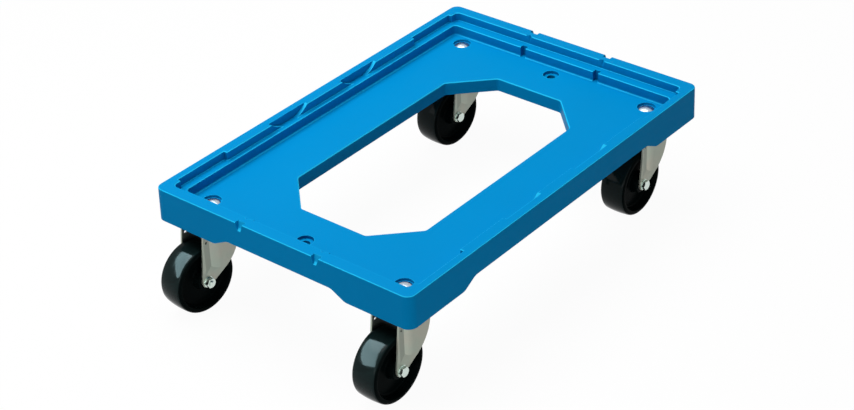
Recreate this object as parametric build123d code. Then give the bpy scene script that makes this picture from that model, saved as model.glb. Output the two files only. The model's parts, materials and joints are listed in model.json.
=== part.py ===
from build123d import *
import os
from math import acos, atan2, cos, hypot, pi, radians, sin, sqrt, tan

# A platform dolly: a moulded tray with a central opening, on four swivel castors. Sizes are in millimetres.
# The origin is the middle of the deck's top face. +X runs along the long side, towards the rear end, and
# +Z is up. Left and right are as seen by someone who stands at the front end and looks along +X.

# Platform, outside
platform_length = 650.0
platform_width = 438.0
platform_depth = 48.5
skirt_mid_depth = 36.5
skirt_draft = 1.15
corner_radius = 12.5
block_end_length = 106.0
block_side_length = 107.0
block_ramp = 23.0
ramp_round = 16.0
wall = 4.0
edge_round = 1.6
edge_break = 0.9

# Platform, stepped tray
rim_end_width = 18.5
rim_side_width = 17.5
ledge_end_width = 15.3
ledge_side_width = 6.5
upper_step = 13.0
lower_step = 15.5
tray_corner_radius = 6.0
ledge_fillet = 1.5
deck_fillet = 3.0
deck_thickness = 4.5

# Bays in the long sides' rim, and scallops in the lip between them
bay_length = 89.0
bay_depth = 5.7
lip_length = 406.0
scallop_spacing = 151.0
scallop_top_chord = 75.5
scallop_floor_chord = 27.0

# Notches and slots on the short sides
notch_spacing = 131.0
notch_width = 13.0
notch_foot_width = 4.6
notch_reach = 7.1
notch_foot_reach = 3.0
notch_drop = 12.0
notch_foot_drop = 8.0
inner_notch_width = 11.0
inner_notch_reach = 4.5
slot_width = 9.4
slot_reach = 7.0

# Central opening
opening_length = 433.0
opening_width = 223.0
opening_corner = 55.5
opening_corner_radius = 7.0
opening_flare = 1.2

# Deck holes, castor bosses and ribs
deck_hole_inset = 53.5
deck_hole_radius = 6.5
deck_seat_width = 5.3
deck_recess_depth = 4.5
castor_end_inset = 52.5
castor_side_inset = 52.5
bolt_recess_margin = 1.9
bolt_recess_depth = 3.4
boss_radius = 28.0
rib_thickness = 3.0
rib_lift = 8.5
rib_setback = 30.0
side_rib_bays = 8
end_rib_bays = 4

# Castor: wheel and axle
wheel_radius = 50.0
wheel_width = 39.0
wheel_rim = 8.0
wheel_rim_draft = 3.0
wheel_web = 16.0
wheel_side_gap = 1.0
tread_flat = 12.0
tread_drop = 1.3
tread_blend = 110.0
tread_shoulder = 4.5
mouth_round = 0.8
recess_fillet = 2.5
hub_wall = 7.3
hub_draft = 2.2
hub_fillet = 3.0
hub_round = 1.2
hub_bore_round = 0.6
hub_gap = 0.5
castor_trail = 38.5
axle_bolt_radius = 4.0
axle_sleeve_wall = 1.8
axle_hex = 13.0
axle_nut_height = 6.5
axle_head_height = 5.3
axle_bolt_overrun = 2.5
washer_rim = 4.0
washer_thickness = 1.0

# Castor: fork
fork_sheet = 2.5
fork_bend = 4.0
crown_gap = 18.5
leg_end_radius = 9.0
leg_front_offset = 0.5
leg_rear_reach = 60.0
leg_rear_corner = 23.0
leg_rear_radius = 55.0
crease_depth = 1.5
crease_front_reach = 1.5
crease_line_reach = 9.0
crease_rear_reach = 25.0
crease_foot = 12.0
crease_run_out = 8.0
pilot_hole_radius = 2.2
pilot_hole_reach = 4.0
pilot_hole_drop = 9.0

# Castor: swivel head
king_bolt_radius = 5.0
king_head_radius = 11.4
king_head_height = 3.2
king_hex = 17.0
king_nut_height = 9.0
king_bolt_overrun = 2.5
king_sleeve_wall = 1.8
head_thickness = 6.0
head_margin = 2.0
race_thickness = 4.0
race_lip = 2.5
race_lip_gap = 1.0
race_side_gap = 1.0
race_bevel = 1.5
upper_ball = 6.0
lower_ball = 5.0
ball_margin = 2.5
ball_circle_step = 5.0
ball_spacing = 0.5
hex_corner_break = 0.9
thread_chamfer = 0.9

# Clearances
running_clearance = 0.06
bolt_clearance = 0.2
thread_clearance = 0.05
ball_clearance = 0.35

# How far each castor is turned from straight ahead in the pose of the photo, in degrees
castor_turn = {
    ("front", "right"): -0.4,
    ("front", "left"): -5.2,
    ("rear", "right"): 0.8,
    ("rear", "left"): -3.6,
}

# The castors whose axle bolts show their nuts on the right in the photo; the others show their heads
nut_on_right = {("front", "left")}

# Plan sizes of the platform
skirt_flare = platform_depth * tan(radians(skirt_draft))
upper_length = platform_length - 2 * rim_end_width
upper_width = platform_width - 2 * rim_side_width
bay_width = upper_width + 2 * bay_depth
lower_length = upper_length - 2 * ledge_end_width
lower_width = upper_width - 2 * ledge_side_width
castor_x = platform_length / 2 - castor_end_inset
castor_y = platform_width / 2 - castor_side_inset
deck_hole_x = platform_length / 2 - deck_hole_inset
deck_recess_radius = deck_hole_radius + deck_seat_width
bolt_recess_radius = king_head_radius + bolt_recess_margin

# Sizes of the castor that follow from its bolts, sleeves, balls and wheel
bolt_hole_radius = king_bolt_radius + bolt_clearance
king_sleeve_radius = bolt_hole_radius + king_sleeve_wall
lower_ball_circle = king_sleeve_radius + ball_margin + lower_ball / 2
upper_ball_circle = lower_ball_circle + ball_circle_step
head_radius = upper_ball_circle + upper_ball / 2 + head_margin
axle_hole_radius = axle_bolt_radius + bolt_clearance
axle_sleeve_radius = axle_hole_radius + axle_sleeve_wall
leg_inner = wheel_width / 2 + wheel_side_gap
leg_outer = leg_inner + fork_sheet
washer_outer = leg_outer + washer_thickness

# Levels, from the deck's top face; each race takes a quarter of a ball
ledge_z = lower_step
rim_z = lower_step + upper_step
block_z = rim_z - platform_depth
mid_z = rim_z - skirt_mid_depth
rib_z = block_z + rib_lift
race_face_z = block_z - race_thickness
upper_ball_z = race_face_z - upper_ball / 4
head_top_z = upper_ball_z - upper_ball / 4
head_bottom_z = head_top_z - head_thickness
crown_bottom_z = head_top_z - fork_sheet
lower_ball_z = head_bottom_z - lower_ball / 4
bottom_race_z = lower_ball_z - lower_ball / 4
king_nut_z = bottom_race_z - race_thickness
axle_z = head_bottom_z - crown_gap - wheel_radius


def rounded_block(length, width, radius, bottom, top):
    """An upright block with rounded vertical edges, centred on the platform."""
    return Pos(0, 0, bottom) * extrude(RectangleRounded(length, width, radius), top - bottom)


def drafted_block(inset, top):
    """The platform's outer form, set in by a wall and cut off at a level, wider towards the bottom."""
    grow = skirt_flare - inset
    outline = RectangleRounded(platform_length + 2 * grow, platform_width + 2 * grow, corner_radius + grow)
    return Pos(0, 0, block_z) * extrude(outline, top - block_z, taper=skirt_draft)


def upright(x, y, radius, bottom, top):
    """An upright cylinder between two levels."""
    return Pos(x, y, bottom) * extrude(Circle(radius), top - bottom)


def standing_box(x, y, length, width, bottom, top):
    """An upright box between two levels, centred on a place in plan."""
    return Pos(x, y, bottom) * extrude(Rectangle(length, width), top - bottom)


def upper_outline():
    """Plan of the upper recess: a rectangle with two shallow bays in each long side."""
    outline = RectangleRounded(upper_length, upper_width, tray_corner_radius)
    bay_middle = (lip_length + bay_length) / 2
    for x in (-bay_middle, bay_middle):
        outline += Pos(x, 0) * Rectangle(bay_length, bay_width)
    bay_reach = lip_length / 2 + bay_length + edge_round
    mouth_reach = bay_width / 2 - edge_round
    mouths = [v for v in outline.vertices() if abs(v.X) < bay_reach and abs(v.Y) < mouth_reach]
    return fillet(mouths, edge_round)


def tray_cutter(outline, bottom, top, fillet_radius):
    """Cuts one step of the tray, with a fillet round its floor and a broken upper edge."""
    pocket = Pos(0, 0, bottom) * extrude(outline, top - bottom)
    pocket = fillet(pocket.edges().group_by(Axis.Z)[0], fillet_radius)
    return pocket + Pos(0, 0, top - edge_break) * extrude(outline, edge_break, taper=-45)


def octagon(grow):
    """The central opening's outline, grown by a wall all round."""
    half_x = opening_length / 2 + grow
    half_y = opening_width / 2 + grow
    corner = opening_corner + grow * (2 - sqrt(2))
    points = []
    for sx, sy, side_first in ((1, 1, True), (-1, 1, False), (-1, -1, True), (1, -1, False)):
        pair = [(sx * half_x, sy * (half_y - corner)), (sx * (half_x - corner), sy * half_y)]
        points += pair if side_first else pair[::-1]
    return make_face(FilletPolyline(points, radius=opening_corner_radius + grow, close=True))


def wedge(base_a, base_b, foot, back):
    """A four-sided solid between four corner points, which cuts a V notch."""
    triples = ((base_a, base_b, foot), (base_a, base_b, back), (base_a, foot, back), (base_b, foot, back))
    return Solid(Shell([Face(Wire.make_polygon(triple, close=True)) for triple in triples]))


def scallops():
    """Cutters for the round scallops in the lips, each across both long sides and down to the ledge."""
    top_half = scallop_top_chord / 2
    floor_half = scallop_floor_chord / 2
    centre_rise = (top_half**2 - floor_half**2 - upper_step**2) / (2 * upper_step)
    bar = Rot(90, 0, 0) * Cylinder(hypot(top_half, centre_rise), bay_width)
    cutters = []
    for x in (-scallop_spacing / 2, scallop_spacing / 2):
        slab = standing_box(x, 0, scallop_top_chord, bay_width, ledge_z, rim_z)
        cutters.append(slab & (Pos(x, 0, rim_z + centre_rise) * bar))
    return cutters


def outer_notch():
    """A tapered pocket in a wall's top edge, open towards -X, with a floor that slopes outwards."""
    front_view = Polygon(
        [
            (-notch_width / 2, 0),
            (notch_width / 2, 0),
            (notch_foot_width / 2, -notch_drop),
            (-notch_foot_width / 2, -notch_drop),
        ],
        align=None,
    )
    side_view = Polygon(
        [
            (-skirt_flare, 0),
            (notch_reach, 0),
            (notch_foot_reach, -notch_foot_drop),
            (-skirt_flare, -notch_drop),
        ],
        align=None,
    )
    front_prism = extrude(Plane.YZ * front_view, notch_reach, both=True)
    return front_prism & extrude(Plane.XZ * side_view, notch_width, both=True)


def inner_notch():
    """A V notch in the inner side of a wall's top edge, open towards +X, which fades out downwards."""
    half = inner_notch_width / 2
    return wedge((0, -half, 0), (0, half, 0), (0, 0, -upper_step), (-inner_notch_reach, 0, 0))


def end_notches():
    """Cutters for the notches and slots of the two short sides."""
    front = []
    for y in (-notch_spacing / 2, notch_spacing / 2):
        front.append(Pos(-platform_length / 2, y, rim_z) * outer_notch())
        front.append(Pos(-upper_length / 2, y, rim_z) * inner_notch())
        front.append(standing_box(-lower_length / 2, y, 2 * slot_reach, slot_width, 0, ledge_z))
    return front + [Rot(0, 0, 180) * cutter for cutter in front]


def ribs_and_bosses():
    """What stands in the hollow under the deck: opening wall, castor bosses, hole bosses, pads and ribs."""
    solids = [Pos(0, 0, block_z) * extrude(octagon(wall), rim_z - block_z)]
    for i in range(side_rib_bays + 1):
        x = opening_length * (i / side_rib_bays - 0.5)
        solids.append(standing_box(x, 0, rib_thickness, platform_width, rib_z, rim_z))
    for i in range(end_rib_bays + 1):
        y = opening_width * (i / end_rib_bays - 0.5)
        solids.append(standing_box(0, y, platform_length, rib_thickness, rib_z, rim_z))
    pad_length = rim_end_width + ledge_end_width
    for side in (-1, 1):
        solids.append(standing_box(0, side * castor_y, 2 * castor_x, rib_thickness, rib_z, rim_z))
        solids.append(standing_box(side * castor_x, 0, rib_thickness, 2 * castor_y, rib_z, rim_z))
        solids.append(upright(side * deck_hole_x, 0, deck_recess_radius + wall, rib_z, 0))
        pad_x = side * (platform_length - pad_length) / 2
        for y in (-notch_spacing / 2, notch_spacing / 2):
            solids.append(standing_box(pad_x, y, pad_length, notch_width + 2 * wall, mid_z, rim_z))
        for x in (-castor_x, castor_x):
            y = side * castor_y
            shell = upright(x, y, boss_radius, block_z, 0) - upright(x, y, boss_radius - wall, block_z, 0)
            solids += [shell, upright(x, y, bolt_recess_radius + wall, block_z, 0)]
    return solids


def skirt_cutters(length, width, block):
    """Cutters that raise the skirt's lower edge on the two sides along X, ramped next to each block."""
    foot_half = length / 2 - block
    top_half = foot_half - block_ramp
    far_half = foot_half + block_ramp
    low_z = 2 * block_z - mid_z
    right = [
        (top_half, mid_z, ramp_round),
        (foot_half, block_z, ramp_round),
        (far_half, block_z, 0),
        (far_half, low_z, 0),
    ]
    corners = right + [(-x, z, rounding) for x, z, rounding in reversed(right)]
    points = [(x, z) for x, z, rounding in corners]
    radii = [rounding for x, z, rounding in corners]
    profile = make_face(FilletPolyline(points, radius=radii, close=True))
    prism = extrude(Plane.XZ * profile, wall + rib_setback + skirt_flare, both=True)
    return [Pos(0, side * (width / 2 + skirt_flare), 0) * prism for side in (-1, 1)]


def platform():
    """The moulded tray: outer form, hollow underside with ribs, stepped recess, opening and holes."""
    form = drafted_block(0, rim_z)
    form = fillet(form.faces().sort_by(Axis.Z)[-1].edges(), edge_round)
    hollow = drafted_block(wall, rim_z - wall)
    under_radius = tray_corner_radius + wall
    for length, width, underside in (
        (lower_length, lower_width, -deck_thickness),
        (upper_length, bay_width, ledge_z - wall),
    ):
        hollow -= rounded_block(length + 2 * wall, width + 2 * wall, under_radius, underside, rim_z)
    for solid in ribs_and_bosses():
        hollow -= solid
    body = form - hollow
    body -= tray_cutter(upper_outline(), ledge_z, rim_z, ledge_fillet)
    lower_outline = RectangleRounded(lower_length, lower_width, tray_corner_radius)
    body -= tray_cutter(lower_outline, 0, ledge_z, deck_fillet)
    side_cutters = skirt_cutters(platform_length, platform_width, block_side_length)
    end_cutters = skirt_cutters(platform_width, platform_length, block_end_length)
    end_cutters = [Rot(0, 0, 90) * cutter for cutter in end_cutters]
    for cutter in scallops() + end_notches() + side_cutters + end_cutters:
        body -= cutter
    body -= Pos(0, 0, block_z) * extrude(octagon(0), rim_z - block_z)
    body -= Pos(0, 0, -opening_flare) * extrude(octagon(0), opening_flare, taper=-45)
    for sx in (-1, 1):
        body -= upright(sx * deck_hole_x, 0, deck_hole_radius, block_z, rim_z)
        body -= upright(sx * deck_hole_x, 0, deck_recess_radius, -deck_recess_depth, rim_z)
        for sy in (-1, 1):
            body -= upright(sx * castor_x, sy * castor_y, bolt_hole_radius, block_z, rim_z)
            body -= upright(sx * castor_x, sy * castor_y, bolt_recess_radius, -bolt_recess_depth, rim_z)
    return body


def ring_on_pivot(outer, inner, bottom, top):
    """An upright ring between two levels, centred on the castor's pivot."""
    return Pos(0, 0, bottom) * extrude(Circle(outer) - Circle(inner), top - bottom)


def groove(circle, ball, level):
    """Cuts a ball groove, a little larger than the ball in section."""
    return Pos(0, 0, level) * Torus(circle, ball / 2 + ball_clearance)


def ball_ring(circle, ball, level):
    """A full ring of loose balls."""
    count = int(2 * pi * circle / (ball + ball_spacing))
    turns = [2 * pi * i / count for i in range(count)]
    return [Pos(circle * cos(turn), circle * sin(turn), level) * Sphere(ball / 2) for turn in turns]


def hexagon(across_flats, height):
    """A hexagon nut blank along +Z with its corners turned off at both ends."""
    blank = extrude(RegularPolygon(across_flats / 2, 6, major_radius=False), height)
    turned = extrude(Circle(across_flats / 2 / cos(pi / 6)), height)
    turned = chamfer(turned.edges().filter_by(GeomType.CIRCLE), hex_corner_break)
    return blank & turned


def top_race():
    """Fixed upper race: a ring against the platform's boss, with a dust lip round the fork's head."""
    lip_inner = head_radius + race_lip_gap
    lip_outer = lip_inner + race_lip
    ring = ring_on_pivot(lip_outer, bolt_hole_radius, race_face_z, block_z)
    ring = chamfer(ring.edges().group_by(Axis.Z)[-1].sort_by(SortBy.LENGTH)[-1], race_bevel)
    ring += ring_on_pivot(lip_outer, lip_inner, head_top_z + race_lip_gap, race_face_z)
    return ring - groove(upper_ball_circle, upper_ball, upper_ball_z)


def bottom_race():
    """Fixed lower race, clamped between the king sleeve and the king nut; the lower balls lie in it."""
    ring = ring_on_pivot(leg_inner - race_side_gap, bolt_hole_radius, king_nut_z, bottom_race_z)
    ring = chamfer(ring.edges().group_by(Axis.Z)[0].sort_by(SortBy.LENGTH)[-1], race_bevel)
    return ring - groove(lower_ball_circle, lower_ball, lower_ball_z + ball_clearance)


def king_sleeve():
    """Spacer tube between the two races, on which the fork turns."""
    return ring_on_pivot(king_sleeve_radius, bolt_hole_radius, bottom_race_z, race_face_z)


def king_bolt():
    """Domed bolt from the deck down through both races."""
    seat_z = -bolt_recess_depth
    top_z = seat_z + king_head_height
    end_z = king_nut_z - king_nut_height - king_bolt_overrun
    dome_radius = (king_head_radius**2 + king_head_height**2) / (2 * king_head_height)
    dome = Pos(0, 0, top_z - dome_radius) * Sphere(dome_radius)
    head = dome & upright(0, 0, king_head_radius, seat_z, top_z)
    shank = upright(0, 0, king_bolt_radius, end_z, seat_z)
    return head + chamfer(shank.edges().group_by(Axis.Z)[0], thread_chamfer)


def king_nut():
    """Hex lock nut under the bottom race."""
    bottom = king_nut_z - king_nut_height
    nut = Pos(0, 0, bottom) * hexagon(king_hex, king_nut_height)
    return nut - upright(0, 0, king_bolt_radius + thread_clearance, bottom, king_nut_z)


def touch_point(radius, point, turn):
    """Where a line from a point touches a circle round the origin, on the side given by turn."""
    bearing = atan2(point[1], point[0]) + turn * acos(radius / hypot(*point))
    return (radius * cos(bearing), radius * sin(bearing))


def fork_leg_outline():
    """Side view of the fork from the axle: steep front edge, round foot and curved rear edge."""
    top = head_top_z - axle_z
    front_top = (-leg_front_offset, top)
    rear_corner = (leg_rear_reach, leg_rear_corner)
    front_foot = touch_point(leg_end_radius, front_top, 1)
    rear_foot = touch_point(leg_end_radius, rear_corner, -1)
    points = [front_top, front_foot, rear_foot, rear_corner, (leg_rear_reach, top)]
    radii = [0, 0, 0, leg_rear_radius, 0]
    return make_face(FilletPolyline(points, radius=radii, close=True)) + Circle(leg_end_radius)


def on_axle(x, y, z):
    """A place given from the middle of the axle."""
    return Pos(x - castor_trail, y, z + axle_z)


def crease():
    """Cuts the crease pressed into the left leg: flat in front, round behind, running out at its foot."""
    top = head_top_z - axle_z
    front = (-crease_front_reach, 0)
    line = (crease_line_reach, -crease_depth)
    rear = (crease_rear_reach, 0)
    flanks = Line(front, line) + TangentArc(rear, line, tangent=(-1, 0))
    rim = Polyline(rear, (crease_rear_reach, crease_depth), (-crease_front_reach, crease_depth), front)
    plan = extrude(make_face(flanks + rim), top)
    side_view = Polygon(
        [
            (crease_depth, crease_foot - crease_run_out),
            (-2 * crease_depth, crease_foot + 2 * crease_run_out),
            (-2 * crease_depth, top),
            (crease_depth, top),
        ],
        align=None,
    )
    run_out = extrude(Plane.YZ * side_view, crease_front_reach + crease_rear_reach, both=True)
    return on_axle(0, leg_outer, 0) * (plan & run_out)


def fork():
    """Pressed fork: crown with the swivel head, two legs with a shallow crease, axle and pilot holes."""
    leg_drop = head_top_z - axle_z + leg_end_radius
    hang = (Align.CENTER, Align.MAX)
    outer = Pos(0, head_top_z) * Rectangle(2 * leg_outer, leg_drop, align=hang)
    outer = fillet(outer.vertices().group_by(Axis.Y)[-1], fork_bend + fork_sheet)
    inner = Pos(0, crown_bottom_z) * Rectangle(2 * leg_inner, leg_drop, align=hang)
    inner = fillet(inner.vertices().group_by(Axis.Y)[-1], fork_bend)
    channel = extrude(Plane.YZ * (outer - inner), leg_rear_reach + castor_trail, both=True)
    side_view = extrude(Plane.XZ * fork_leg_outline(), leg_outer, both=True)
    body = channel & (on_axle(0, 0, 0) * side_view)
    body += upright(0, 0, head_radius, head_bottom_z, head_top_z)
    body -= upright(0, 0, king_sleeve_radius + running_clearance, head_bottom_z, head_top_z)
    body -= groove(upper_ball_circle, upper_ball, upper_ball_z + ball_clearance)
    body -= groove(lower_ball_circle, lower_ball, lower_ball_z)
    across = Rot(90, 0, 0)
    body -= on_axle(0, 0, 0) * across * Cylinder(axle_hole_radius, 2 * washer_outer)
    pilot_z = head_bottom_z - pilot_hole_drop - axle_z
    body -= on_axle(pilot_hole_reach, 0, pilot_z) * across * Cylinder(pilot_hole_radius, 2 * washer_outer)
    left_crease = crease()
    return body - left_crease - mirror(left_crease, about=Plane.XZ)


def wheel():
    """Wheel along Y: crowned tread with round shoulders, recessed sides with a web, hub with a bore."""
    rim = wheel_width / 2
    web = wheel_web / 2
    hub = leg_inner - hub_gap
    hub_radius = axle_sleeve_radius + hub_wall
    mouth_radius = wheel_radius - wheel_rim
    half = [
        (axle_sleeve_radius + running_clearance, hub, hub_bore_round),
        (hub_radius, hub, hub_round),
        (hub_radius + hub_draft, web, hub_fillet),
        (mouth_radius - wheel_rim_draft, web, recess_fillet),
        (mouth_radius, rim, mouth_round),
        (wheel_radius - tread_drop, rim, tread_shoulder),
        (wheel_radius, tread_flat / 2, tread_blend),
    ]
    corners = half + [(r, -y, rounding) for r, y, rounding in reversed(half)]
    points = [(r, y) for r, y, rounding in corners]
    radii = [rounding for r, y, rounding in corners]
    profile = make_face(FilletPolyline(points, radius=radii, close=True))
    return on_axle(0, 0, 0) * revolve(profile, Axis.Y)


def along_axle(solid, start):
    """Places a solid that was made along +Z so that it runs along +Y, from a place on the axle."""
    return on_axle(0, start, 0) * Rot(-90, 0, 0) * solid


def axle_sleeve():
    """Tube clamped between the fork's legs, on which the wheel turns."""
    section = Circle(axle_sleeve_radius) - Circle(axle_hole_radius)
    return along_axle(extrude(section, 2 * leg_inner), -leg_inner)


def axle_bolt():
    """Hex-headed bolt through the fork's legs and the axle sleeve."""
    length = 2 * washer_outer + axle_nut_height + axle_bolt_overrun
    shank = extrude(Circle(axle_bolt_radius), length)
    shank = chamfer(shank.edges().group_by(Axis.Z)[0], thread_chamfer)
    head = Pos(0, 0, length) * hexagon(axle_hex, axle_head_height)
    return along_axle(shank + head, washer_outer - length)


def axle_nut():
    """Hex nut on the threaded end of the axle bolt."""
    thread = extrude(Circle(axle_bolt_radius + thread_clearance), axle_nut_height)
    return along_axle(hexagon(axle_hex, axle_nut_height) - thread, -washer_outer - axle_nut_height)


def axle_washers():
    """One washer under the axle bolt's head and one under its nut."""
    section = Circle(axle_bolt_radius + washer_rim) - Circle(axle_hole_radius)
    washer = extrude(section, washer_thickness)
    return [along_axle(washer, -washer_outer), along_axle(washer, leg_outer)]


def place(pieces, location):
    """Moves one solid, or each solid of a group, from the pivot's frame to a corner of the platform."""
    if isinstance(pieces, list):
        return Compound(children=[location * piece.solid() for piece in pieces])
    return location * pieces


castor_pieces = {
    "king_bolt": king_bolt(),
    "king_nut": king_nut(),
    "king_sleeve": king_sleeve(),
    "top_race": top_race(),
    "bottom_race": bottom_race(),
    "upper_balls": ball_ring(upper_ball_circle, upper_ball, upper_ball_z),
    "lower_balls": ball_ring(lower_ball_circle, lower_ball, lower_ball_z),
    "fork": fork(),
    "wheel": wheel(),
    "axle_sleeve": axle_sleeve(),
    "axle_bolt": axle_bolt(),
    "axle_nut": axle_nut(),
    "axle_washers": axle_washers(),
}

# Half a turn about the middle of the axle
end_for_end = Pos(-castor_trail, 0, 0) * Rot(0, 0, 180) * Pos(castor_trail, 0, 0)

os.makedirs("parts", exist_ok=True)
export_step(platform(), "parts/platform.step")
for (end, hand), turn in castor_turn.items():
    x = castor_x if end == "rear" else -castor_x
    y = castor_y if hand == "left" else -castor_y
    corner = Pos(x, y, 0) * Rot(0, 0, turn)
    for name, pieces in castor_pieces.items():
        swapped = name in ("axle_bolt", "axle_nut") and (end, hand) not in nut_on_right
        spot = corner * end_for_end if swapped else corner
        export_step(place(pieces, spot), f"parts/{end}_{hand}_{name}.step")
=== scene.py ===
"""Dresses the platform dolly: moulded wheels, finishes for every piece, and a plain studio."""

import json
from math import atan2, cos, hypot, radians, sin, tau

import bpy
from bpy.props import FloatProperty, FloatVectorProperty, IntProperty, PointerProperty
from mathutils import Matrix, Quaternion, Vector


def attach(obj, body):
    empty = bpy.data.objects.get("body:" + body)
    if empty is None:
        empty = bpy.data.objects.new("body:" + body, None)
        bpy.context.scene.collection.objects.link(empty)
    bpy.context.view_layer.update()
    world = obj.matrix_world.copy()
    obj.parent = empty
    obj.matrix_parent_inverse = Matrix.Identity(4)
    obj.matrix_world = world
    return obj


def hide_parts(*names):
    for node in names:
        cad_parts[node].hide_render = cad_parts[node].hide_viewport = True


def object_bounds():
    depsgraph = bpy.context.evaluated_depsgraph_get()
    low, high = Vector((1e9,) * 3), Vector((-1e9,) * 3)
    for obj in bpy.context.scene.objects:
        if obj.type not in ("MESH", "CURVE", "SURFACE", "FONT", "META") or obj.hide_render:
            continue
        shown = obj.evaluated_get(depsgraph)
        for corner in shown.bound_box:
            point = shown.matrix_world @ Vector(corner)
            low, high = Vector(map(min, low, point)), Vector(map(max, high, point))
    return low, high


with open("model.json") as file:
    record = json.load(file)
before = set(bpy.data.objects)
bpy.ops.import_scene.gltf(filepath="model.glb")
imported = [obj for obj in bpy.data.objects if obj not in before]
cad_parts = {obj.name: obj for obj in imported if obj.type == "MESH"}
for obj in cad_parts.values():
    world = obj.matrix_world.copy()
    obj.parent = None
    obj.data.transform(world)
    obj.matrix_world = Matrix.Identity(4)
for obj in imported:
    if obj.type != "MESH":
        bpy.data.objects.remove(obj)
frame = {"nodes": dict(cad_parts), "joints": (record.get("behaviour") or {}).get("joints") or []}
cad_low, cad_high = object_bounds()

bl_info = {
    "name": "Platform Dolly",
    "version": (1, 0, 0),
    "blender": (4, 5, 0),
    "location": "View3D > Sidebar > Dolly",
    "description": "Wheels, finishes and studio for a four-castor platform dolly",
    "category": "Object",
}

CORNERS = ("front_right", "front_left", "rear_right", "rear_left")
FRONT_CORNERS = CORNERS[:2]
JOINTS = {joint["name"]: joint for joint in frame["joints"]}

# Sockets of the Mix node that carry colours.
MIX_FIRST, MIX_SECOND, MIX_RESULT = 6, 7, 2

# Turning of the wheel's mesh: metres, except for the count and the angle.
SAME_POINT = 0.00001
MERGE_REACH = 0.000005
ROUND_SEGMENTS = 5
SMOOTH_ANGLE = radians(40)

SENSOR_WIDTH_MM = 36.0


class Value:
    """A shader socket that can stand in sums."""

    def __init__(self, wires, socket):
        self.wires = wires
        self.socket = socket

    def combine(self, operation, first, second):
        return self.wires.node("ShaderNodeMath", {"operation": operation}, {0: first, 1: second})

    def __add__(self, other):
        return self.combine("ADD", self, other)

    __radd__ = __add__

    def __rsub__(self, other):
        return self.combine("SUBTRACT", other, self)

    def __mul__(self, other):
        return self.combine("MULTIPLY", self, other)

    __rmul__ = __mul__


class Wires:
    """Adds nodes to one node tree."""

    edge_samples = 6
    edge_likeness = 0.75
    flat_likeness = 0.99
    crevice_samples = 8

    def __init__(self, tree):
        self.tree = tree
        tree.nodes.clear()

    def node(self, kind, settings=None, sockets=None, output=0):
        made = self.tree.nodes.new(kind)
        for key, value in (settings or {}).items():
            setattr(made, key, value)
        for key, value in (sockets or {}).items():
            if isinstance(value, Value):
                self.tree.links.new(value.socket, made.inputs[key])
            else:
                made.inputs[key].default_value = value
        return Value(self, made.outputs[output]) if made.outputs else None

    def place(self, stretch=(1, 1, 1)):
        """Coordinates on the piece in metres, stretched along the axes."""
        spot = self.node("ShaderNodeTexCoord", output="Object")
        return self.node("ShaderNodeMapping", sockets={"Vector": spot, "Scale": stretch})

    def noise(self, spot, scale, detail):
        """Soft noise between 0 and 1."""
        sockets = {"Vector": spot, "Scale": scale, "Detail": detail}
        return self.node("ShaderNodeTexNoise", sockets=sockets)

    def ramp(self, value, low, high):
        """0 below low and 1 above high, with an even rise between."""
        sockets = {"Value": value, "From Min": low, "From Max": high}
        return self.node("ShaderNodeMapRange", {"clamp": True}, sockets)

    def blend(self, share, first, second):
        """A colour between two others."""
        sockets = {"Factor": share, MIX_FIRST: rgba(first), MIX_SECOND: rgba(second)}
        return self.node("ShaderNodeMix", {"data_type": "RGBA"}, sockets, output=MIX_RESULT)

    def bump(self, height, depth, strength):
        """A normal tipped by a height, which reaches a depth in metres."""
        sockets = {"Height": height, "Distance": depth, "Strength": strength}
        return self.node("ShaderNodeBump", sockets=sockets)

    def edge(self, reach):
        """1 on the edges of a piece, fading out over a distance from them."""
        rounded = self.node("ShaderNodeBevel", {"samples": self.edge_samples}, {"Radius": reach})
        true = self.node("ShaderNodeNewGeometry", output="Normal")
        sockets = {0: rounded, 1: true}
        likeness = self.node("ShaderNodeVectorMath", {"operation": "DOT_PRODUCT"}, sockets, output="Value")
        return 1 - self.ramp(likeness, self.edge_likeness, self.flat_likeness)

    def facing(self, axis):
        """How far the surface looks along an axis of the piece."""
        normal = self.node("ShaderNodeTexCoord", output="Normal")
        return self.node("ShaderNodeSeparateXYZ", sockets={0: normal}, output=axis)

    def crevice(self, reach, closed, clear):
        """1 deep between other surfaces, and 0 out in the open."""
        settings = {"samples": self.crevice_samples}
        free = self.node("ShaderNodeAmbientOcclusion", settings, {"Distance": reach}, output="AO")
        return 1 - self.ramp(free, closed, clear)


def rgba(colour):
    """A colour for a socket, unless it is a socket's value already."""
    return colour if isinstance(colour, Value) else (*colour, 1)


def new_finish(name, sockets_of):
    """A material whose Principled shader gets the sockets that a function works out."""
    finish = bpy.data.materials.new(name)
    finish.use_nodes = True
    wires = Wires(finish.node_tree)
    shader = wires.node("ShaderNodeBsdfPrincipled", sockets=sockets_of(wires))
    wires.node("ShaderNodeOutputMaterial", sockets={"Surface": shader})
    return finish


def shaded(colour, factor):
    """A colour made lighter or darker."""
    return tuple(channel * factor for channel in colour)


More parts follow.
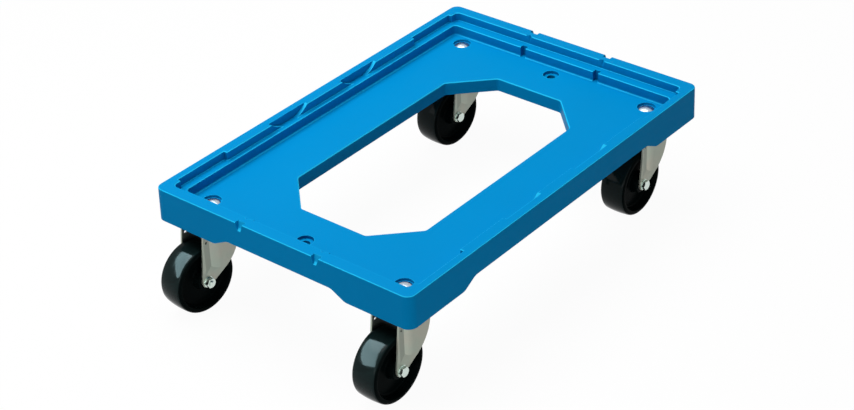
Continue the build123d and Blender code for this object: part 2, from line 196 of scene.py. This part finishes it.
def moulded_blue(colours):
    """Tray plastic: cloudy pigment, fine grain, flow marks and scuffs, with painted shade in the corners
    and on recessed walls, and painted highlights on the edges.
    """

    def sockets(wires):
        spot = wires.place()
        cloud = wires.noise(spot, scale=7.0, detail=3.0)
        grain = wires.noise(spot, scale=1400.0, detail=2.0)
        flow = wires.noise(wires.place(stretch=(0.6, 6.0, 6.0)), scale=14.0, detail=4.0)
        streak = wires.noise(wires.place(stretch=(14.0, 420.0, 14.0)), scale=3.0, detail=4.0)
        scuff = wires.ramp(streak, 0.66, 0.78)
        up = wires.facing("Z")
        level = wires.ramp(up, 0.2, 0.7)
        rounded = wires.ramp(up, 0.4, 0.55) * (1 - wires.ramp(up, 0.9, 0.98))
        shade = wires.crevice(reach=0.03, closed=0.45, clear=0.9)
        # Painted shade: corners and recessed walls are darkened where less light reaches them, while level
        # faces keep most of their colour.
        corner_shade = shade * (1 - 0.75 * level) * 0.68
        # Painted highlights: paler plastic along the edges of upward faces and on the rounded faces between
        # top and side, kept out of the shaded corners.
        edge_highlight = wires.edge(reach=0.002) * level * (1 - shade) * 0.7
        round_highlight = rounded * (1 - shade) * 0.9
        base = wires.blend(cloud, shaded(colours.tray, 0.96), shaded(colours.tray, 1.04))
        base = wires.blend(scuff * 0.16, base, shaded(colours.tray, 1.22))
        # Painted shade goes into the corners, then painted highlights onto the edges and the rounds.
        base = wires.blend(corner_shade, base, shaded(colours.tray, 0.5))
        base = wires.blend(edge_highlight, base, colours.tray_edge_highlight)
        base = wires.blend(round_highlight, base, colours.tray_edge_highlight)
        return {
            "Base Color": base,
            "Roughness": 0.36 + 0.14 * flow + 0.08 * scuff,
            "Specular IOR Level": 0.02,
            "Normal": wires.bump(grain + 0.4 * flow, depth=0.00004, strength=0.6),
        }

    return new_finish("moulded_blue", sockets)


def wheel_tread(colours):
    """Running surface of a wheel: polished black plastic with fine dust and a faint ripple."""

    def sockets(wires):
        spot = wires.place()
        cloud = wires.noise(spot, scale=60.0, detail=3.0)
        ripple = wires.noise(spot, scale=170.0, detail=2.0)
        dust = wires.ramp(wires.noise(spot, scale=900.0, detail=3.0), 0.6, 0.8)
        return {
            "Base Color": wires.blend(dust * 0.5, shaded(colours.wheel, 2.0), shaded(colours.wheel, 4.0)),
            "Roughness": 0.08 + 0.06 * cloud + 0.08 * dust,
            "Specular IOR Level": 0.06,
            "Normal": wires.bump(ripple, depth=0.00002, strength=0.5),
        }

    return new_finish("wheel_tread", sockets)


def wheel_side(colours):
    """Sides of a wheel: the same plastic, duller, with faint turned rings and painted highlights on the
    edges.
    """

    def sockets(wires):
        cloud = wires.noise(wires.place(), scale=60.0, detail=3.0)
        distance = wires.node("ShaderNodeAttribute", {"attribute_name": "axle_distance"}, output="Fac")
        line = wires.node("ShaderNodeCombineXYZ", sockets={"X": distance})
        rings = wires.noise(line, scale=900.0, detail=3.0)
        base = wires.blend(rings, shaded(colours.wheel, 0.4), shaded(colours.wheel, 0.8))
        return {
            # Painted highlight: pale rings along the edges of the mouth and the hub.
            "Base Color": wires.blend(wires.edge(reach=0.0007) * 0.7, base, shaded(colours.wheel, 14.0)),
            "Roughness": 0.16 + 0.1 * cloud + 0.06 * rings,
            "Specular IOR Level": 0.008,
            "Normal": wires.bump(rings + 0.5 * cloud, depth=0.00005, strength=0.5),
        }

    return new_finish("wheel_side", sockets)


def zinc_sheet(colours):
    """Passivated zinc on stamped sheet: cloudy and faintly tinted, with painted shade inside the fork and
    on back-turned faces, and painted highlights on the edges.
    """

    def sockets(wires):
        spot = wires.place()
        cloud = wires.noise(spot, scale=45.0, detail=4.0)
        tint = wires.ramp(wires.noise(spot, scale=28.0, detail=2.0), 0.35, 0.65)
        mottle = wires.noise(spot, scale=420.0, detail=3.0)
        drawn = wires.noise(wires.place(stretch=(900.0, 900.0, 40.0)), scale=1.0, detail=3.0)
        back = wires.facing("X")
        # Painted shade: faces that turn towards the back, such as one flank of each crease, are darkened as
        # if they faced away from the light.
        rearward_shade = wires.ramp(back, -0.13, 0.12) * (1 - wires.ramp(back, 0.3, 0.5))
        # Painted shade: deep inside the fork, between the legs and the wheel, the sheet goes near-black
        # where the wheel and the tray shut out the light.
        inside = wires.crevice(reach=0.08, closed=0.3, clear=0.62)
        base = wires.blend(tint, colours.fork_warm, colours.fork)
        base = wires.blend((0.6 * cloud + 0.4 * mottle) * 0.35, base, shaded(colours.fork, 0.62))
        # Painted shade on the faces turned towards the back.
        base = wires.blend(rearward_shade * 0.8, base, shaded(colours.fork, 0.45))
        # Painted highlight along the sheet's edges.
        base = wires.blend(wires.edge(reach=0.0009) * 0.7, base, shaded(colours.fork, 1.4))
        # Painted shade: near-black deep inside the fork.
        base = wires.blend(inside * 0.97, base, colours.fork_shade)
        return {
            "Base Color": base,
            "Metallic": 0.35,
            "Roughness": 0.42 + 0.16 * mottle,
            "Specular IOR Level": 0.3,
            "Normal": wires.bump(drawn + mottle, depth=0.00003, strength=0.35),
        }

    return new_finish("zinc_sheet", sockets)


def bright_zinc(name, colour):
    """Bright zinc on turned and rolled fasteners: slightly cloudy, with fine tool marks and painted
    highlights on the edges.
    """

    def sockets(wires):
        spot = wires.place()
        cloud = wires.noise(spot, scale=160.0, detail=3.0)
        turned = wires.noise(spot, scale=1500.0, detail=2.0)
        base = wires.blend(cloud, shaded(colour, 0.8), shaded(colour, 1.1))
        return {
            # Painted highlight: paler zinc along the edges.
            "Base Color": wires.blend(wires.edge(reach=0.0007) * 0.6, base, shaded(colour, 1.6)),
            "Metallic": 1.0,
            "Roughness": 0.18 + 0.16 * cloud,
            "Normal": wires.bump(turned, depth=0.00002, strength=0.4),
        }

    return new_finish(name, sockets)


def ground_steel(colours):
    """Ground steel with a thin film of grease."""

    def sockets(wires):
        film = wires.noise(wires.place(), scale=220.0, detail=3.0)
        return {
            "Base Color": wires.blend(film, shaded(colours.bearing, 0.8), colours.bearing),
            "Metallic": 1.0,
            "Roughness": 0.14 + 0.18 * film,
            "Normal": wires.bump(film, depth=0.00001, strength=0.4),
        }

    return new_finish("ground_steel", sockets)


def paint(finish, *nodes):
    """Gives CAD nodes a finish."""
    for name in nodes:
        slots = frame["nodes"][name].data.materials
        slots.clear()
        slots.append(finish)


def of_castors(*pieces):
    """Names of the like pieces of all four castors."""
    return [f"{corner}_{piece}" for corner in CORNERS for piece in pieces]


def colour(name, description, default):
    settings = {"default": default, "subtype": "COLOR", "min": 0, "max": 1}
    return FloatVectorProperty(name=name, description=description, **settings)


def length(name, description, default):
    return FloatProperty(name=name, description=description, default=default, unit="LENGTH", precision=4)


def power(name, description, default):
    return FloatProperty(name=name, description=description, default=default, unit="POWER")


def share(name, description, default):
    return FloatProperty(name=name, description=description, default=default, min=0, max=1)


def angle(name, description, degrees):
    return FloatProperty(name=name, description=description, default=radians(degrees), subtype="ANGLE")


class DollyColours(bpy.types.PropertyGroup):
    """Colours of the dolly's finishes."""

    tray: colour("Tray", "Moulded plastic of the tray", (0.0, 0.275, 0.63))
    # Painted highlight: the pale colour laid on the tray's edges and rounds.
    tray_edge_highlight: colour("Tray edge highlights", "Painted highlight on the tray's edges", (0.02, 0.62, 1.0))
    wheel: colour("Wheels", "Hard plastic of the wheels", (0.003, 0.007, 0.007))
    fork: colour("Forks", "Zinc-plated sheet of the forks", (0.59, 0.67, 0.56))
    fork_warm: colour("Fork tint", "Warm tint on the forks' zinc", (0.68, 0.65, 0.54))
    # Painted shade: the near-black laid inside the forks.
    fork_shade: colour("Fork shade", "Painted shade inside the forks", (0.012, 0.018, 0.018))
    bolt: colour("Fasteners", "Bright zinc of bolts, nuts and washers", (0.62, 0.71, 0.66))
    cap: colour("Deck bolts", "Bright zinc of the domed heads in the deck", (0.40, 0.47, 0.54))
    bearing: colour("Bearings", "Ground steel of balls and sleeves", (0.56, 0.56, 0.56))


class DollyWheel(bpy.types.PropertyGroup):
    """Section of a wheel, from its axle."""

    radius: length("Radius", "Half across the tread", 0.05)
    width: length("Width", "Across the rims", 0.039)
    crown: length("Crown", "How far the tread drops towards its shoulders", 0.0013)
    flat: length("Flat", "Width of the tread's level middle", 0.012)
    shoulder: length("Shoulder", "Size of the round between tread and side", 0.0042)
    rim: length("Rim", "Thickness of the rim at its mouth", 0.008)
    draft: length("Draft", "How much the recess narrows towards the web", 0.003)
    web: length("Web", "Thickness of the web", 0.016)
    hub: length("Hub", "Radius of the hub's end", 0.0133)
    hub_width: length("Hub width", "From one end of the hub to the other", 0.04)
    hub_draft: length("Hub draft", "How much the hub widens towards the web", 0.0022)
    bore: length("Bore", "Radius of the bore", 0.00606)
    bore_round: length("Bore round", "Round at the ends of the bore", 0.0005)
    hub_round: length("Hub round", "Round on the hub's ends", 0.0011)
    hub_root: length("Hub root", "Round between hub and web", 0.0024)
    rim_root: length("Rim root", "Round between web and rim", 0.002)
    mouth_round: length("Mouth round", "Round on the rim's inner edge", 0.0008)
    crown_round: length("Crown round", "Round between the tread's middle and its slopes", 0.004)
    steps: IntProperty(name="Steps", description="Facets round the wheel", default=120, min=24)


class DollyStudio(bpy.types.PropertyGroup):
    """Light and camera of the studio."""

    floor_size: length("Floor", "Side of the floor", 16.0)
    key_power: power("Key", "Power of the panel overhead", 64.0)
    side_power: power("Side", "Power of the panel at front left", 4.2)
    front_power: power("Front", "Power of the low panel in front", 5.4)
    fill_power: power("Fill", "Power of the low panel at the right", 11.7)
    card_power: power("Card", "Power of the gloss card", 12400.0)
    sky: share("Sky", "Light from all round", 0.01)
    bounce: share("Bounce", "Share of light the floor sends back", 0.36)
    paper: share("Paper", "Lightness of the floor where it is seen", 0.95)
    backdrop: share("Backdrop", "Share of plain white in the floor", 0.96)
    lens: FloatProperty(name="Lens", description="Focal length", default=84.94, unit="CAMERA")
    yaw: angle("Yaw", "Turn from +Y", 50.0)
    pitch: angle("Pitch", "Tilt down", 32.57)
    roll: angle("Roll", "Tilt sideways", -2.25)
    eye: FloatVectorProperty(
        name="Eye",
        description="Place of the camera",
        default=(-1.83769, -1.52237, 1.43855),
        subtype="TRANSLATION",
        unit="LENGTH",
    )


class DOLLY_OT_tray(bpy.types.Operator):
    """Finish the moulded tray"""

    bl_idname = "dolly.tray"
    bl_label = "Tray"

    def execute(self, context):
        paint(moulded_blue(context.scene.dolly_colours), "platform")
        return {"FINISHED"}


def wheel_section(wheel):
    """Half of the wheel's section, from the bore to the tread's middle: radius, side place, rounding."""
    hub_end = wheel.hub_width / 2
    web_side = wheel.web / 2
    rim_side = wheel.width / 2
    mouth = wheel.radius - wheel.rim
    return [
        (wheel.bore, 0, 0),
        (wheel.bore, hub_end, wheel.bore_round),
        (wheel.hub, hub_end, wheel.hub_round),
        (wheel.hub + wheel.hub_draft, web_side, wheel.hub_root),
        (mouth - wheel.draft, web_side, wheel.rim_root),
        (mouth, rim_side, wheel.mouth_round),
        (wheel.radius - wheel.crown, rim_side, wheel.shoulder),
        (wheel.radius, wheel.flat / 2, wheel.crown_round),
        (wheel.radius, 0, 0),
    ]


def turned_wheel(wheel):
    """A wheel along Y at the origin, spun from its section."""
    half = wheel_section(wheel)
    section = half + [(radius, -side, rounding) for radius, side, rounding in reversed(half[1:-1])]
    bpy.ops.object.select_all(action="DESELECT")
    bpy.ops.mesh.primitive_plane_add(size=wheel.width)
    piece = bpy.context.object
    bpy.ops.object.mode_set(mode="EDIT")
    bpy.ops.mesh.merge(type="CENTER")
    bpy.ops.transform.translate(value=(section[0][0], section[0][1], 0))
    for here, there in zip(section, section[1:]):
        step = (there[0] - here[0], there[1] - here[1], 0)
        bpy.ops.mesh.extrude_region_move(TRANSFORM_OT_translate={"value": step})
    bpy.ops.mesh.select_all(action="SELECT")
    bpy.ops.mesh.edge_face_add()
    bpy.ops.mesh.delete(type="ONLY_FACE")
    bpy.ops.object.mode_set(mode="OBJECT")
    for radius, side, rounding in section:
        if rounding:
            round_corner(piece, Vector((radius, side, 0)), rounding)
    bpy.ops.object.mode_set(mode="EDIT")
    bpy.ops.mesh.select_all(action="SELECT")
    bpy.ops.mesh.spin(steps=wheel.steps, angle=tau, center=(0, 0, 0), axis=(0, 1, 0))
    bpy.ops.mesh.select_all(action="SELECT")
    bpy.ops.mesh.remove_doubles(threshold=MERGE_REACH)
    bpy.ops.mesh.normals_make_consistent(inside=False)
    bpy.ops.object.mode_set(mode="OBJECT")
    bpy.ops.object.shade_smooth_by_angle(angle=SMOOTH_ANGLE)
    return piece


def round_corner(piece, corner, size):
    """Rounds one corner of the section."""
    bpy.ops.object.mode_set(mode="EDIT")
    bpy.ops.mesh.select_mode(type="VERT")
    bpy.ops.mesh.select_all(action="DESELECT")
    bpy.ops.object.mode_set(mode="OBJECT")
    for vertex in piece.data.vertices:
        vertex.select = (vertex.co - corner).length < SAME_POINT
    bpy.ops.object.mode_set(mode="EDIT")
    bpy.ops.mesh.bevel(offset=size, segments=ROUND_SEGMENTS, affect="VERTICES")
    bpy.ops.object.mode_set(mode="OBJECT")


def finish_wheel(piece, wheel, colours):
    """Two finishes, and the distance from the axle for the turned rings."""
    mesh = piece.data
    mesh.materials.append(wheel_side(colours))
    mesh.materials.append(wheel_tread(colours))
    distance = mesh.attributes.new("axle_distance", "FLOAT", "POINT")
    for vertex in mesh.vertices:
        distance.data[vertex.index].value = hypot(vertex.co.x, vertex.co.z)
    tread_start = wheel.width / 2 - wheel.shoulder / 3
    mouth = wheel.radius - wheel.rim / 2
    for face in mesh.polygons:
        outside = hypot(face.center.x, face.center.z) > mouth
        face.material_index = int(outside and abs(face.center.y) < tread_start)


class DOLLY_OT_wheels(bpy.types.Operator):
    """Turn one wheel and set a copy in each castor"""

    bl_idname = "dolly.wheels"
    bl_label = "Wheels"

    def execute(self, context):
        pattern = turned_wheel(context.scene.dolly_wheel)
        finish_wheel(pattern, context.scene.dolly_wheel, context.scene.dolly_colours)
        for corner in CORNERS:
            axle = JOINTS[f"{corner}_roll"]
            turn = atan2(-axle["axis"][0], axle["axis"][1])
            bpy.ops.object.select_all(action="DESELECT")
            pattern.select_set(True)
            context.view_layer.objects.active = pattern
            bpy.ops.object.duplicate()
            piece = context.object
            piece.name = f"{corner}_moulded_wheel"
            piece.matrix_world = Matrix.Translation(axle["pos_m"]) @ Matrix.Rotation(turn, 4, "Z")
            bpy.ops.object.transform_apply(location=True, rotation=True, scale=True)
            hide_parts(f"{corner}_wheel")
            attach(piece, f"{corner}_roller")
        bpy.data.objects.remove(pattern)
        return {"FINISHED"}


class DOLLY_OT_forks(bpy.types.Operator):
    """Finish the forks and the races"""

    bl_idname = "dolly.forks"
    bl_label = "Forks"

    def execute(self, context):
        paint(zinc_sheet(context.scene.dolly_colours), *of_castors("fork", "top_race", "bottom_race"))
        return {"FINISHED"}


class DOLLY_OT_fasteners(bpy.types.Operator):
    """Finish the bolts, nuts and washers"""

    bl_idname = "dolly.fasteners"
    bl_label = "Fasteners"

    def execute(self, context):
        colours = context.scene.dolly_colours
        paint(bright_zinc("bright_cap", colours.cap), *of_castors("king_bolt"))
        names = of_castors("king_nut", "axle_bolt", "axle_nut", "axle_washers")
        paint(bright_zinc("bright_zinc", colours.bolt), *names)
        return {"FINISHED"}


class DOLLY_OT_bearings(bpy.types.Operator):
    """Finish the balls and sleeves"""

    bl_idname = "dolly.bearings"
    bl_label = "Bearings"

    def execute(self, context):
        names = of_castors("upper_balls", "lower_balls", "king_sleeve", "axle_sleeve")
        paint(ground_steel(context.scene.dolly_colours), *names)
        return {"FINISHED"}


def seen_directly(wires):
    """1 for rays from the camera, off a mirror or through glass, and 0 for soft light."""
    camera = wires.node("ShaderNodeLightPath", output="Is Camera Ray")
    glossy = wires.node("ShaderNodeLightPath", output="Is Glossy Ray")
    through = wires.node("ShaderNodeLightPath", output="Is Transmission Ray")
    return wires.ramp(camera + glossy + through, 0.0, 1.0)


def floor_finish(studio):
    """White where it is seen, with a soft shadow, and a plain grey for the light that it sends back."""
    finish = bpy.data.materials.new("studio_floor")
    finish.use_nodes = True
    wires = Wires(finish.node_tree)
    seen = seen_directly(wires)
    pale = wires.blend(seen, (studio.bounce,) * 3, (studio.paper,) * 3)
    paper = wires.node("ShaderNodeBsdfDiffuse", sockets={"Color": pale})
    white = wires.node("ShaderNodeEmission", sockets={"Color": (1, 1, 1, 1), "Strength": 1.0})
    sockets = {0: seen * studio.backdrop, 1: paper, 2: white}
    mixed = wires.node("ShaderNodeMixShader", sockets=sockets)
    wires.node("ShaderNodeOutputMaterial", sockets={"Surface": mixed})
    return finish


def panel_lamp(name, place, target, size, power, tint=(1, 1, 1), lean=0.0):
    """A soft rectangular lamp that faces a point, leaning sideways."""
    bpy.ops.object.light_add(type="AREA", location=place)
    lamp = bpy.context.object
    lamp.name = name
    facing = (Vector(target) - Vector(place)).to_track_quat("-Z", "Y")
    lamp.rotation_euler = (facing @ Quaternion((0, 0, 1), lean)).to_euler()
    lamp.data.shape = "RECTANGLE"
    lamp.data.size, lamp.data.size_y = size
    lamp.data.energy = power
    lamp.data.color = tint
    return lamp


def studio_lamps(studio):
    """Key overhead, softer panels at the side, in front and at the right, and a card for gloss."""
    panel_lamp(
        "key_panel",
        place=(-0.1, 0.6, 2.1),
        target=(0, 0, 0),
        size=(2.4, 1.8),
        power=studio.key_power,
    )
    panel_lamp(
        "side_panel",
        place=(-1.8, 1.1, 0.9),
        target=(-0.2, 0, 0),
        size=(0.9, 1.2),
        power=studio.side_power,
        tint=(0.9, 0.96, 1),
    )
    panel_lamp(
        "front_panel",
        place=(-2.3, -0.5, 0.3),
        target=(0, 0, -0.05),
        size=(0.7, 0.7),
        power=studio.front_power,
    )
    panel_lamp(
        "fill_panel",
        place=(-0.9, -2.3, 0.25),
        target=(0, 0, -0.05),
        size=(1.8, 0.7),
        power=studio.fill_power,
    )
    card = panel_lamp(
        "gloss_card",
        place=(-5.31, 6.25, 8.4),
        target=(-0.31, 0, -0.1),
        size=(18.0, 6.2),
        power=studio.card_power,
        tint=(0.6, 0.93, 1),
        lean=radians(-44),
    )
    # The card lights nothing: it shows only as a pale patch on the polished treads of the front wheels.
    card.visible_diffuse = False
    front_wheels = bpy.data.collections.new("front_wheels")
    for corner in FRONT_CORNERS:
        front_wheels.objects.link(bpy.data.objects[f"{corner}_moulded_wheel"])
    card.light_linking.receiver_collection = front_wheels


def studio_sky(studio):
    """White where it is seen, with next to no light of its own."""
    world = bpy.data.worlds.new("studio_sky")
    bpy.context.scene.world = world
    world.use_nodes = True
    wires = Wires(world.node_tree)
    seen = seen_directly(wires)
    level = studio.sky + seen * (1.0 - studio.sky)
    sky = wires.node("ShaderNodeBackground", sockets={"Color": (1, 1, 1, 1), "Strength": level})
    wires.node("ShaderNodeOutputWorld", sockets={"Surface": sky})


def studio_camera(studio):
    """The camera, turned by yaw, pitch and roll."""
    yaw, pitch, roll = studio.yaw, studio.pitch, studio.roll
    ahead = Vector((sin(yaw) * cos(pitch), cos(yaw) * cos(pitch), -sin(pitch)))
    level = Vector((cos(yaw), -sin(yaw), 0))
    above = level.cross(ahead)
    right = cos(roll) * level + sin(roll) * above
    up = cos(roll) * above - sin(roll) * level
    bpy.ops.object.camera_add()
    camera = bpy.context.object
    camera.name = "studio_camera"
    turn = Matrix((right, up, -ahead)).transposed().to_4x4()
    camera.matrix_world = Matrix.Translation(studio.eye) @ turn
    camera.data.sensor_width = SENSOR_WIDTH_MM
    camera.data.lens = studio.lens
    bpy.context.scene.camera = camera


class DOLLY_OT_stage(bpy.types.Operator):
    """Set up the floor, the lamps and the camera"""

    bl_idname = "dolly.stage"
    bl_label = "Studio"

    def execute(self, context):
        studio = context.scene.dolly_studio
        bpy.ops.object.select_all(action="DESELECT")
        bpy.ops.mesh.primitive_plane_add(size=studio.floor_size, location=(0, 0, cad_low.z))
        floor = context.object
        floor.name = "studio_floor"
        floor.data.materials.append(floor_finish(studio))
        studio_lamps(studio)
        studio_sky(studio)
        studio_camera(studio)
        context.scene.view_settings.view_transform = "Standard"
        return {"FINISHED"}


OPERATORS = (
    DOLLY_OT_tray,
    DOLLY_OT_wheels,
    DOLLY_OT_forks,
    DOLLY_OT_fasteners,
    DOLLY_OT_bearings,
    DOLLY_OT_stage,
)


class DOLLY_PT_sidebar(bpy.types.Panel):
    """Lists the dolly's pieces and their settings"""

    bl_label = "Platform Dolly"
    bl_idname = "DOLLY_PT_sidebar"
    bl_space_type = "VIEW_3D"
    bl_region_type = "UI"
    bl_category = "Dolly"

    def draw(self, context):
        scene = context.scene
        for group in (scene.dolly_colours, scene.dolly_wheel, scene.dolly_studio):
            for name in group.__annotations__:
                self.layout.prop(group, name)
        for operator in OPERATORS:
            self.layout.operator(operator.bl_idname)


CLASSES = (DollyColours, DollyWheel, DollyStudio, *OPERATORS, DOLLY_PT_sidebar)


def register():
    for made in CLASSES:
        bpy.utils.register_class(made)
    bpy.types.Scene.dolly_colours = PointerProperty(type=DollyColours)
    bpy.types.Scene.dolly_wheel = PointerProperty(type=DollyWheel)
    bpy.types.Scene.dolly_studio = PointerProperty(type=DollyStudio)


def unregister():
    del bpy.types.Scene.dolly_studio
    del bpy.types.Scene.dolly_wheel
    del bpy.types.Scene.dolly_colours
    for made in reversed(CLASSES):
        bpy.utils.unregister_class(made)


def main():
    register()
    bpy.ops.dolly.tray()
    bpy.ops.dolly.wheels()
    bpy.ops.dolly.forks()
    bpy.ops.dolly.fasteners()
    bpy.ops.dolly.bearings()
    bpy.ops.dolly.stage()


if __name__ == "__main__":
    main()
